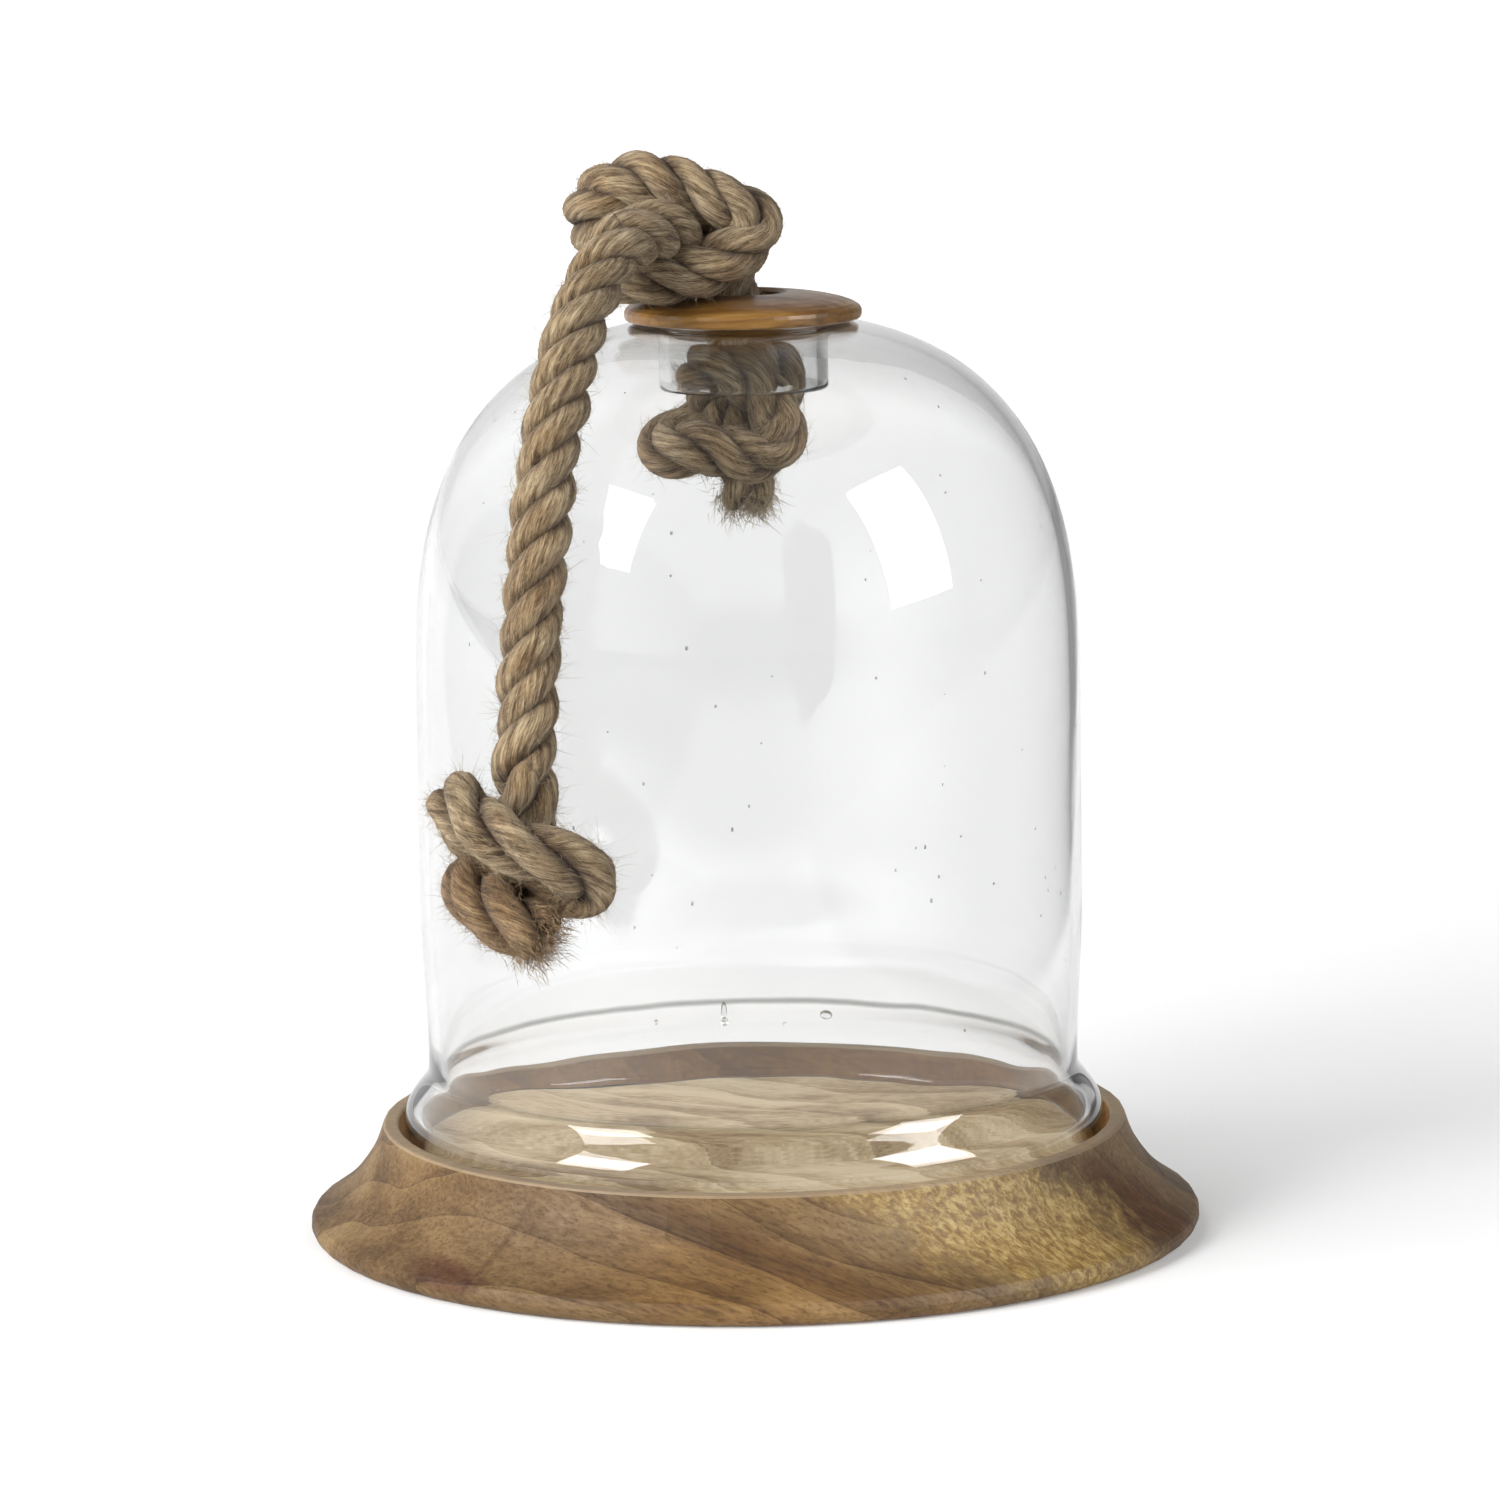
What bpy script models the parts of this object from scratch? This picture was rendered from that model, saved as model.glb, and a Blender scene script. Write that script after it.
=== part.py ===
"""Bell jar dome: a blown glass dome on a turned wooden base, with a loose wooden
lid disc over its neck and a captive rope handle with three knots.

Metres, +Z up. The origin is the centre of the base's underside.
"""

import math

import bmesh
import bpy
from mathutils import Vector

# ---------------------------------------------------------------- dimensions
GAP = 0.0003                # clearance left between pieces that touch

BASE_RADIUS = 0.135         # widest circle, at the bullnose
BASE_HEIGHT = 0.034
BULLNOSE = 0.004            # radius of the rounded lower edge
RIM_OUTER = 0.1126
RIM_INNER = 0.1080
RECESS_DEPTH = 0.010
COVE_RADIUS = 0.043         # radius of the hollow flank between rim and bullnose
RIM_ROUND = 0.0008
RECESS_FILLET = 0.0025

GLASS_WALL = 0.0032
GLASS_FOOT_WALL = 0.0044    # the wall thickens through the flared foot
DOME_RADIUS = 0.0984        # of the wall's middle line
DOME_FOOT_RADIUS = 0.1036
DOME_WAIST_RADIUS = 0.0967
FLARE_TOP = 0.0518          # the foot flares out from here
FLARE_DEPTH = 0.0170
SHOULDER_START = 0.160      # height where the straight side starts to turn in
CROWN_HEIGHT = 0.2760       # middle line's height if the crown closed at the axis
SHOULDER_POWER_Z = 2.86
SHOULDER_POWER_R = 2.58
NECK_RADIUS = 0.0236        # middle line of the tube turned down inside the dome
NECK_END = 0.2570
LIP_RADIUS = 0.0050
LIP_DROP = 0.0017          # the lip's middle line below the crown height

LID_BOTTOM = 0.2762
LID_RADIUS = 0.0355
LID_HOLE = 0.0125
LID_EDGE = 0.0026           # height of the lid's rim below its domed top
LID_CROWN = 0.0060
LID_ROUND = 0.0011

ROPE_RADIUS = 0.00875
SHANK_RADIUS = 0.0086
INNER_KNOT_TOP = 0.2722
INNER_KNOT_PLUG = 0.0190    # radius of the part of the knot that fills the neck

TURN_STEPS = 56
LID_STEPS = 48

# middle line of the hanging rope, from the top knot to the end knot
TAIL_ROUTE = [
    (-0.0343, -0.0400, 0.3036),
    (-0.0377, -0.0445, 0.3002),
    (-0.0420, -0.0505, 0.2942),
    (-0.0461, -0.0570, 0.2856),
    (-0.0496, -0.0634, 0.2755),
    (-0.0526, -0.0698, 0.2640),
    (-0.0553, -0.0758, 0.2510),
    (-0.0577, -0.0812, 0.2365),
    (-0.0597, -0.0858, 0.2210),
    (-0.0612, -0.0890, 0.2050),
    (-0.0623, -0.0910, 0.1885),
    (-0.0633, -0.0928, 0.1720),
    (-0.0643, -0.0951, 0.1600),
    (-0.0646, -0.0959, 0.1552),
]

TOP_KNOT_CENTRE = (-0.0205, -0.0105, 0.3070)
TOP_KNOT_SIZE = (0.0330, 0.0250, 0.0215)
END_KNOT_CENTRE = (-0.0660, -0.1035, 0.1290)
END_KNOT_SIZE = (0.0270, 0.0190, 0.0250)
END_KNOT_BEARING = math.radians(32.0)
INNER_KNOT_CENTRE = (-0.0085, 0.0, 0.2385)
INNER_KNOT_SIZE = (0.0245, 0.0215, 0.0170)

WOOD_BROWN = (0.34, 0.21, 0.11, 1.0)
WOOD_AMBER = (0.42, 0.22, 0.08, 1.0)
CLEAR_GLASS = (0.95, 0.97, 0.97, 1.0)
JUTE = (0.36, 0.26, 0.16, 1.0)


# ------------------------------------------------------------------- helpers
def clear_scene():
    for old in list(bpy.data.objects):
        bpy.data.objects.remove(old, do_unlink=True)


def new_collection(name):
    made = bpy.data.collections.new(name)
    bpy.context.scene.collection.children.link(made)
    return made


def material(name, colour, roughness, metallic=0.0, transmission=0.0):
    made = bpy.data.materials.new(name)
    made.use_nodes = True
    shader = made.node_tree.nodes["Principled BSDF"]
    shader.inputs["Base Color"].default_value = colour
    shader.inputs["Roughness"].default_value = roughness
    shader.inputs["Metallic"].default_value = metallic
    shader.inputs["Transmission Weight"].default_value = transmission
    made.diffuse_color = colour
    return made


def arc(centre, radius, start, end, count):
    """Points of a circular arc in the profile plane, angles in degrees from +X."""
    points = []
    for i in range(count + 1):
        angle = math.radians(start + (end - start) * i / count)
        points.append((centre[0] + radius * math.cos(angle), centre[1] + radius * math.sin(angle)))
    return points


def hollow_arc(first, last, radius, count):
    """Arc from first to last that curves in towards the axis side of its chord."""
    a = Vector(first)
    b = Vector(last)
    chord = b - a
    outward = Vector((-chord.y, chord.x)).normalized()
    if outward.x < 0.0:
        outward = -outward
    reach = math.sqrt(radius ** 2 - (chord.length / 2) ** 2)
    centre = (a + b) / 2 + outward * reach
    start = math.atan2(a.y - centre.y, a.x - centre.x)
    end = math.atan2(b.y - centre.y, b.x - centre.x)
    if start < 0.0:
        start += math.tau
    if end < 0.0:
        end += math.tau
    return arc(centre, radius, math.degrees(start), math.degrees(end), count)


def smoothstep(value):
    value = min(1.0, max(0.0, value))
    return value * value * (3.0 - 2.0 * value)


def smootherstep(value):
    value = min(1.0, max(0.0, value))
    return value ** 3 * (value * (6.0 * value - 15.0) + 10.0)


def turned(name, outline, steps, closed, look, collection):
    """A solid of revolution about Z from an outline of (radius, height) points."""
    mesh = bpy.data.meshes.new(name)
    shape = bmesh.new()
    corners = [shape.verts.new((radius, 0.0, height)) for radius, height in outline]
    for first, second in zip(corners, corners[1:]):
        shape.edges.new((first, second))
    if closed:
        shape.edges.new((corners[-1], corners[0]))
    shape.to_mesh(mesh)
    shape.free()
    made = bpy.data.objects.new(name, mesh)
    collection.objects.link(made)
    screw = made.modifiers.new("turn", "SCREW")
    screw.axis = "Z"
    screw.steps = steps
    screw.render_steps = steps
    screw.angle = math.tau
    screw.use_merge_vertices = True
    screw.merge_threshold = 0.00001
    screw.use_smooth_shade = True
    made.data.materials.append(look)
    return made


def ball(name, centre, size, look, collection, bearing=0.0, segments=24, rings=14):
    """A closed egg-shaped solid standing for a knot of rope."""
    mesh = bpy.data.meshes.new(name)
    shape = bmesh.new()
    bmesh.ops.create_uvsphere(shape, u_segments=segments, v_segments=rings, radius=1.0)
    for corner in shape.verts:
        corner.co = Vector([corner.co[i] * size[i] for i in range(3)])
    shape.to_mesh(mesh)
    shape.free()
    mesh.shade_smooth()
    made = bpy.data.objects.new(name, mesh)
    made.location = centre
    made.rotation_euler = (0.0, 0.0, bearing)
    collection.objects.link(made)
    made.data.materials.append(look)
    return made


def cylinder(name, centre, radius, height, look, collection, segments=24):
    mesh = bpy.data.meshes.new(name)
    shape = bmesh.new()
    bmesh.ops.create_cone(
        shape,
        cap_ends=True,
        segments=segments,
        radius1=radius,
        radius2=radius,
        depth=height,
    )
    shape.to_mesh(mesh)
    shape.free()
    mesh.shade_smooth()
    mesh.set_sharp_from_angle(angle=math.radians(40.0))
    made = bpy.data.objects.new(name, mesh)
    made.location = centre
    collection.objects.link(made)
    made.data.materials.append(look)
    return made


def rope(name, route, radius, look, collection):
    """A plain round rope along a hand-laid route, capped at both ends."""
    curve = bpy.data.curves.new(name, "CURVE")
    curve.dimensions = "3D"
    curve.bevel_depth = radius
    curve.bevel_resolution = 3
    curve.use_fill_caps = True
    spline = curve.splines.new("POLY")
    spline.points.add(len(route) - 1)
    for point, place in zip(spline.points, route):
        point.co = (*place, 1.0)
    spline.use_smooth = True
    made = bpy.data.objects.new(name, curve)
    collection.objects.link(made)
    made.data.materials.append(look)
    return made


# ---------------------------------------------------------------- the pieces
def base_outline():
    """From the recess floor's centre, over the rim, down the cove, under to the axis."""
    floor = BASE_HEIGHT - RECESS_DEPTH
    nose = (BASE_RADIUS - BULLNOSE, BULLNOSE)
    fillet = (RIM_INNER - RECESS_FILLET, floor + RECESS_FILLET)
    inner_round = (RIM_INNER + RIM_ROUND, BASE_HEIGHT - RIM_ROUND)
    outer_round = (RIM_OUTER - RIM_ROUND, BASE_HEIGHT - RIM_ROUND)
    nose_arc = arc(nose, BULLNOSE, 68.0, -90.0, 7)
    cove = hollow_arc((RIM_OUTER, BASE_HEIGHT - RIM_ROUND), nose_arc[0], COVE_RADIUS, 9)
    points = [(0.0, floor)]
    points += arc(fillet, RECESS_FILLET, -90.0, 0.0, 3)
    points += arc(inner_round, RIM_ROUND, 180.0, 90.0, 2)
    points += arc(outer_round, RIM_ROUND, 90.0, 0.0, 2)
    points += cove[1:-1]
    points += nose_arc
    points += [(0.0, 0.0)]
    return points


def glass_middle_line():
    """Middle of the glass wall, from the neck's lower end over the crown to the foot."""
    lip = (NECK_RADIUS + LIP_RADIUS, CROWN_HEIGHT - LIP_RADIUS - LIP_DROP)
    points = [(NECK_RADIUS, NECK_END), (NECK_RADIUS, (NECK_END + lip[1]) / 2)]
    points += arc(lip, LIP_RADIUS, 180.0, 90.0, 5)
    height = CROWN_HEIGHT - SHOULDER_START
    for turn in (15.0, 21.0, 28.0, 35.0, 42.0, 49.0, 56.0, 63.0, 70.0, 77.0, 84.0, 90.0):
        angle = math.radians(turn)
        radius = DOME_RADIUS * math.sin(angle) ** (2.0 / SHOULDER_POWER_R)
        rise = height * math.cos(angle) ** (2.0 / SHOULDER_POWER_Z)
        points.append((radius, SHOULDER_START + rise))
    points += [(DOME_RADIUS, 0.130), (DOME_RADIUS, 0.100)]
    floor = BASE_HEIGHT - RECESS_DEPTH + GAP
    foot_end = floor + GLASS_FOOT_WALL / 2
    bends = (0.080, 0.066, 0.058, FLARE_TOP, 0.0482, 0.0462, 0.0445, 0.0428, 0.0410, 0.0388, 0.0350)
    for height in bends + (foot_end,):
        waist = smoothstep((0.100 - height) / 0.045)
        flare = smootherstep((FLARE_TOP - height) / FLARE_DEPTH)
        radius = DOME_RADIUS + (DOME_WAIST_RADIUS - DOME_RADIUS) * waist
        points.append((radius + (DOME_FOOT_RADIUS - DOME_WAIST_RADIUS) * flare, height))
    return points


def glass_outline():
    """The wall's outside going down, its rounded foot, its inside going up, and
    the rounded lower end of the neck: one closed loop."""
    middle = [Vector(point) for point in glass_middle_line()]
    outside = []
    inside = []
    for i, point in enumerate(middle):
        before = middle[max(i - 1, 0)]
        after = middle[min(i + 1, len(middle) - 1)]
        along = (after - before).normalized()
        across = Vector((-along.y, along.x))
        thicker = smoothstep((0.060 - point.y) / 0.030)
        half = (GLASS_WALL + (GLASS_FOOT_WALL - GLASS_WALL) * thicker) / 2
        outside.append(point + across * half)
        inside.append(point - across * half)
    foot = []
    neck = []
    for angle in (-45.0, -90.0, -135.0):
        foot += arc(middle[-1], GLASS_FOOT_WALL / 2, angle, angle, 1)[:1]
        neck += arc(middle[0], GLASS_WALL / 2, angle, angle, 1)[:1]
    loop = [tuple(point) for point in outside] + foot
    loop += [tuple(point) for point in reversed(inside)] + neck
    return loop


def lid_outline():
    """Down the domed top and the edge, in under the flat bottom, up the hole."""
    top = LID_BOTTOM + LID_EDGE
    crown = []
    inner = LID_HOLE + LID_ROUND
    for i in range(8):
        radius = inner + (LID_RADIUS - inner) * math.sin(math.pi / 2 * i / 7)
        crown.append((radius, top + LID_CROWN * math.sqrt(max(0.0, 1.0 - (radius / LID_RADIUS) ** 2))))
    edge = arc((LID_RADIUS - LID_ROUND, LID_BOTTOM + LID_ROUND), LID_ROUND, 0.0, -90.0, 3)
    hole = [(LID_HOLE + LID_ROUND / 2, LID_BOTTOM), (LID_HOLE, LID_BOTTOM + LID_ROUND / 2)]
    hole += [(LID_HOLE, crown[0][1] - LID_ROUND)]
    return crown + edge + hole


def joined(first, second):
    """The union of two solids, kept as the first object."""
    union = first.modifiers.new("join", "BOOLEAN")
    union.operation = "UNION"
    union.solver = "EXACT"
    union.object = second
    second.hide_render = True
    second.display_type = "WIRE"
    return first


def build():
    clear_scene()
    dome_set = new_collection("bell_jar_dome")
    helpers = new_collection("helpers")

    base_wood = material("base_wood", WOOD_BROWN, 0.55)
    lid_wood = material("lid_wood", WOOD_AMBER, 0.35)
    glass = material("clear_glass", CLEAR_GLASS, 0.02, transmission=1.0)
    jute = material("jute_rope", JUTE, 0.95)

    turned("base", base_outline(), TURN_STEPS, False, base_wood, dome_set)
    turned("glass_dome", glass_outline(), TURN_STEPS, True, glass, dome_set)
    turned("lid", lid_outline(), LID_STEPS, True, lid_wood, dome_set)

    shank_low = INNER_KNOT_TOP + GAP
    shank_high = LID_BOTTOM + LID_EDGE + LID_CROWN
    shank_centre = (0.0, 0.0, (shank_low + shank_high) / 2)
    cylinder("rope_shank", shank_centre, SHANK_RADIUS, shank_high - shank_low, jute, dome_set)

    plug_low = INNER_KNOT_CENTRE[2]
    plug_centre = (0.0, 0.0, (plug_low + INNER_KNOT_TOP) / 2)
    inner_knot = ball("inner_knot", INNER_KNOT_CENTRE, INNER_KNOT_SIZE, jute, dome_set)
    plug = cylinder("inner_knot_plug", plug_centre, INNER_KNOT_PLUG, INNER_KNOT_TOP - plug_low, jute, helpers)
    joined(inner_knot, plug)

    ball("top_knot", TOP_KNOT_CENTRE, TOP_KNOT_SIZE, jute, dome_set)
    rope("rope_tail", TAIL_ROUTE, ROPE_RADIUS, jute, dome_set)
    ball("end_knot", END_KNOT_CENTRE, END_KNOT_SIZE, jute, dome_set, bearing=-END_KNOT_BEARING)


build()
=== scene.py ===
"""Looks for the bell jar dome: blown glass, turned mango wood, an amber wooden lid
and a three-strand jute rope with three knots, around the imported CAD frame."""

import math
import random

import bmesh
import bpy
import numpy as np
from mathutils import Matrix, Quaternion, Vector, noise


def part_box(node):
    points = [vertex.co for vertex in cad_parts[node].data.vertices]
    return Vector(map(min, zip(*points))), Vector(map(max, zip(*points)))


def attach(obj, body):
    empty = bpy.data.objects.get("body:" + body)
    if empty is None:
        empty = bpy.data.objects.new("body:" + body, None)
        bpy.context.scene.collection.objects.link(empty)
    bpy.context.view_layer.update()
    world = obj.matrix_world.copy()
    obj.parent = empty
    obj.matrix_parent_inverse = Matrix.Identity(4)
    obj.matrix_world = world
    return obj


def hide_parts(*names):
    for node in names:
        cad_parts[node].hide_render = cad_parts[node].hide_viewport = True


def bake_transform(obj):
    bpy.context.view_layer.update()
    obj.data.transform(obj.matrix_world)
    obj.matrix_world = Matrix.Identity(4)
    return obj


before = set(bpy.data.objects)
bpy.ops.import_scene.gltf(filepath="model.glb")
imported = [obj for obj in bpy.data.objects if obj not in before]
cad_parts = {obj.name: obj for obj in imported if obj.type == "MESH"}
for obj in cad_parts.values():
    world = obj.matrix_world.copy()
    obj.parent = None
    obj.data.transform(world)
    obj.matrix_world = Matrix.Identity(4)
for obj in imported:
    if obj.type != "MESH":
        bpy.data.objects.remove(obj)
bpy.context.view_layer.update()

BASE_TOP = Vector(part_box("base")[1]).z
DOME_BOTTOM = Vector(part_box("glass_dome")[0]).z

MM = 0.001


def link_object(name, data):
    """An object of this data, linked into the scene."""
    made = bpy.data.objects.new(name, data)
    bpy.context.collection.objects.link(made)
    return made


def mesh_object(name, mesh, look):
    made = link_object(name, mesh)
    mesh.materials.append(look)
    return made


def shape_object(name, shape, look):
    """An object of this bmesh, which is freed."""
    mesh = bpy.data.meshes.new(name)
    shape.to_mesh(mesh)
    shape.free()
    return mesh_object(name, mesh, look)


# ------------------------------------------------------------------- camera
VIEW_DISTANCE = 2.1
VIEW_PITCH = math.radians(9.16)
VIEW_ROLL = math.radians(-0.8)
VIEW_TARGET = Vector((0.0003, 0.0, 0.1458))
VIEW_LENS = 167.3
VIEW_FAR = 100.0


def make_camera():
    data = bpy.data.cameras.new("camera")
    data.lens = VIEW_LENS
    data.clip_end = VIEW_FAR
    camera = link_object("camera", data)
    back = Vector((0.0, -math.cos(VIEW_PITCH), math.sin(VIEW_PITCH)))
    right = Vector((1.0, 0.0, 0.0))
    up = back.cross(right)
    rolled_right = right * math.cos(VIEW_ROLL) + up * math.sin(VIEW_ROLL)
    rolled_up = back.cross(rolled_right)
    turn = Matrix((rolled_right, rolled_up, back)).transposed().to_4x4()
    camera.matrix_world = Matrix.Translation(VIEW_TARGET + back * VIEW_DISTANCE) @ turn
    bpy.context.scene.camera = camera


# -------------------------------------------------------------------- ropes
ROPE_RADIUS = 8.75 * MM
ROPE_LAY = 37.0 * MM            # length of rope in which a strand goes round once
LOOSE_LAY = 62.0 * MM           # the same in the end knot's first bend
END_LAY = 55.0 * MM             # and from its middle to the cut end
STRAND_OFFSET = 0.49            # strand centre from the rope's middle, in rope radii
STRAND_RADIUS = 0.525           # in rope radii
STRAND_GIRTH = math.tau * STRAND_RADIUS * ROPE_RADIUS / MM
STRAND_SIDES = 40
RING_STEP = 0.8 * MM
YARNS = 11                      # yarns in a strand
YARN_LAY = 22.0 * MM            # length of rope in which a yarn goes back round once
YARN_RELIEF = 0.028             # these two in strand radii
LUMP_RELIEF = 0.030
INNER_FLAT = 0.06               # how much a strand is flattened where it meets the others
# random changes along a strand: the rings to each, and the size in radians or as a share
TURN_DRIFT = (18, 0.08)
OFFSET_DRIFT = (14, 0.06)
SWELL_DRIFT = (16, 0.035)
FRAY = 9.0 * MM                 # length over which a cut end opens and thins
FRAY_OPENS = 0.2
FRAY_THINS = 0.55
PATH_FINENESS = 24              # points on the curve for each point of the route
PATH_SMOOTHINGS = 6
TEXTURE_UNIT = 10.0             # millimetres of strand to one unit of its texture
STRAND_APART = 500.0            # millimetres between the strands' places in the texture

# Loose fibres. A turn, lift, scatter, bend, inset or spread is a standard deviation.
FIBRE_TURN = 0.9                # radians round the strand, from its outer side
FIBRE_LIFT = 0.48               # off the strand, per unit along it
FIBRE_LEAST_LIFT = 0.08
FIBRE_SCATTER = 0.22
FIBRE_BEND = 0.65
FIBRE_LIES_DOWN = 0.3
FIBRE_ROOT = 0.97               # where they leave the strand, in strand radii
FIBRE_SHORTEST = 0.2            # of the longest
FIBRE_WIDTHS = (0.04, 0.085)    # millimetres
STRAY_SHARE = 0.12              # of the loose fibres, those that stand well off the rope
STRAY_LIFTS = (0.4, 1.5)
STRAY_LENGTH = 1.35             # and how much longer than the others they are
TUFT_FIBRES = 1500              # on one cut end of the rope
TUFT_INSET = 3.5                # millimetres
TUFT_SPREAD = 0.55              # in strand radii
TUFT_SCATTER = 0.50
TUFT_BEND = 0.6
TUFT_LENGTHS = (2.0, 7.0)       # millimetres
TUFT_WIDTHS = (0.06, 0.14)      # millimetres
HAIR_JOINTS = 5
HAIR_TAPER = 0.8

# The hanging end: the same route as in the CAD model, from top knot to end knot.
TAIL_ROUTE = [
    (-0.0343, -0.0400, 0.3036),
    (-0.0377, -0.0445, 0.3002),
    (-0.0420, -0.0505, 0.2942),
    (-0.0461, -0.0570, 0.2856),
    (-0.0496, -0.0634, 0.2755),
    (-0.0526, -0.0698, 0.2640),
    (-0.0553, -0.0758, 0.2510),
    (-0.0577, -0.0812, 0.2365),
    (-0.0597, -0.0858, 0.2210),
    (-0.0612, -0.0890, 0.2050),
    (-0.0623, -0.0910, 0.1885),
    (-0.0633, -0.0928, 0.1720),
    (-0.0643, -0.0951, 0.1600),
    (-0.0646, -0.0959, 0.1552),
]

# Under the lid: from the frayed end up through the bulky knot and the glass neck.
INNER_KNOT_ROUTE = [
    (0.0010, -0.0050, 0.2215),
    (0.0005, -0.0045, 0.2280),
    (-0.0005, -0.0020, 0.2360),
    (-0.0030, 0.0010, 0.2440),
    (-0.0080, 0.0050, 0.2520),
    (-0.0125, 0.0005, 0.2590),
    (-0.0095, -0.0080, 0.2630),
    (0.0000, -0.0098, 0.2600),
    (0.0065, -0.0095, 0.2530),
    (0.0105, -0.0090, 0.2450),
    (0.0075, -0.0110, 0.2375),
    (-0.0020, -0.0135, 0.2370),
    (-0.0115, -0.0135, 0.2395),
    (-0.0215, -0.0085, 0.2385),
    (-0.0230, 0.0005, 0.2400),
    (-0.0145, 0.0065, 0.2435),
    (-0.0040, 0.0080, 0.2470),
    (0.0065, 0.0070, 0.2510),
    (0.0115, 0.0045, 0.2580),
    (0.0060, 0.0030, 0.2650),
    (-0.0025, 0.0003, 0.2710),
    (-0.0030, 0.0000, 0.2770),
]

# Out of the lid's hole, left along the back, right along the front, up the right side,
# left over the top, down the left side, right along the back, and out through the loop.
TOP_KNOT_ROUTE = [
    (-0.0030, 0.0003, 0.2830),
    (-0.0030, 0.0020, 0.2890),
    (-0.0075, 0.0050, 0.2930),
    (-0.0155, 0.0070, 0.2945),
    (-0.0250, 0.0060, 0.2940),
    (-0.0335, 0.0015, 0.2925),
    (-0.0380, -0.0075, 0.2915),
    (-0.0345, -0.0175, 0.2912),
    (-0.0250, -0.0225, 0.2913),
    (-0.0130, -0.0235, 0.2930),
    (-0.0030, -0.0215, 0.2975),
    (0.0034, -0.0180, 0.3040),
    (0.0005, -0.0175, 0.3100),
    (-0.0095, -0.0180, 0.3138),
    (-0.0225, -0.0175, 0.3180),
    (-0.0340, -0.0150, 0.3185),
    (-0.0435, -0.0095, 0.3115),
    (-0.0430, -0.0010, 0.3045),
    (-0.0330, 0.0045, 0.3035),
    (-0.0205, 0.0035, 0.3035),
    (-0.0135, -0.0035, 0.3035),
    (-0.0155, -0.0130, 0.3045),
    (-0.0215, -0.0235, 0.3055),
    (-0.0285, -0.0330, 0.3055),
]

# Around the end knot's middle, in millimetres: right, away from the dome's axis, up.
END_KNOT_ROUTE = [
    (-1.5, -6.5, 21.0),
    (-3.5, -8.5, 12.0),
    (-6.5, -9.5, 3.0),
    (-13.0, -8.5, 0.0),
    (-18.5, -7.5, 6.0),
    (-22.5, -2.5, 14.0),
    (-19.5, 3.5, 18.0),
    (-13.5, 7.5, 16.2),
    (-7.0, 10.0, 13.2),
    (0.0, 11.3, 11.0),
    (7.0, 11.0, 8.6),
    (14.0, 8.0, 5.8),
    (19.0, 1.0, 2.5),
    (19.0, -7.0, -3.0),
    (11.0, -10.5, -7.0),
    (0.0, -8.5, -6.5),
    (-10.0, -6.0, -4.0),
    (-17.0, -1.0, -4.5),
    (-13.0, 5.0, -7.5),
    (-5.0, 8.0, -11.0),
    (4.0, 8.0, -14.5),
    (12.0, 6.0, -19.0),
]


def smooth_path(points, step):
    """A smooth curve through the points, as evenly spaced points along it."""
    points = [Vector(point) for point in points]
    first = points[0] * 2 - points[1]
    last = points[-1] * 2 - points[-2]
    padded = [first] + points + [last]
    fine = []
    for a, b, c, d in zip(padded, padded[1:], padded[2:], padded[3:]):
        for i in range(PATH_FINENESS):
            t = i / PATH_FINENESS
            fine.append(0.5 * (2 * b + (c - a) * t + (2 * a - 5 * b + 4 * c - d) * t * t
                               + (3 * b - 3 * c + d - a) * t ** 3))
    fine.append(points[-1])
    line = np.array(fine)
    for _ in range(PATH_SMOOTHINGS):
        line[1:-1] = 0.5 * line[1:-1] + 0.25 * (line[:-2] + line[2:])
    lengths = np.concatenate([[0.0], np.cumsum(np.linalg.norm(np.diff(line, axis=0), axis=1))])
    count = max(2, round(lengths[-1] / step))
    marks = np.linspace(0.0, lengths[-1], count + 1)
    return np.stack([np.interp(marks, lengths, line[:, k]) for k in range(3)], axis=1), marks


def moving_frames(path):
    """Tangents and two normals that turn as little as possible along the path."""
    tangents = np.gradient(path, axis=0)
    tangents /= np.linalg.norm(tangents, axis=1)[:, None]
    off_the_start = (0.0, 1.0, 0.3)
    start = np.cross(tangents[0], off_the_start)
    normals = [start / np.linalg.norm(start)]
    for tangent in tangents[1:]:
        normal = normals[-1] - tangent * np.dot(normals[-1], tangent)
        normals.append(normal / np.linalg.norm(normal))
    normals = np.array(normals)
    return normals, np.cross(tangents, normals)


def wander(rng, count, reach, scale):
    """A smooth random curve of the given size, with bends about reach rings long."""
    knots = rng.normal(0.0, scale, max(4, int(count / reach) + 4))
    places = np.linspace(0.0, len(knots) - 1.001, count)
    low = places.astype(int)
    t = places - low
    t = t * t * (3 - 2 * t)
    return knots[low] * (1 - t) + knots[low + 1] * t


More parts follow.
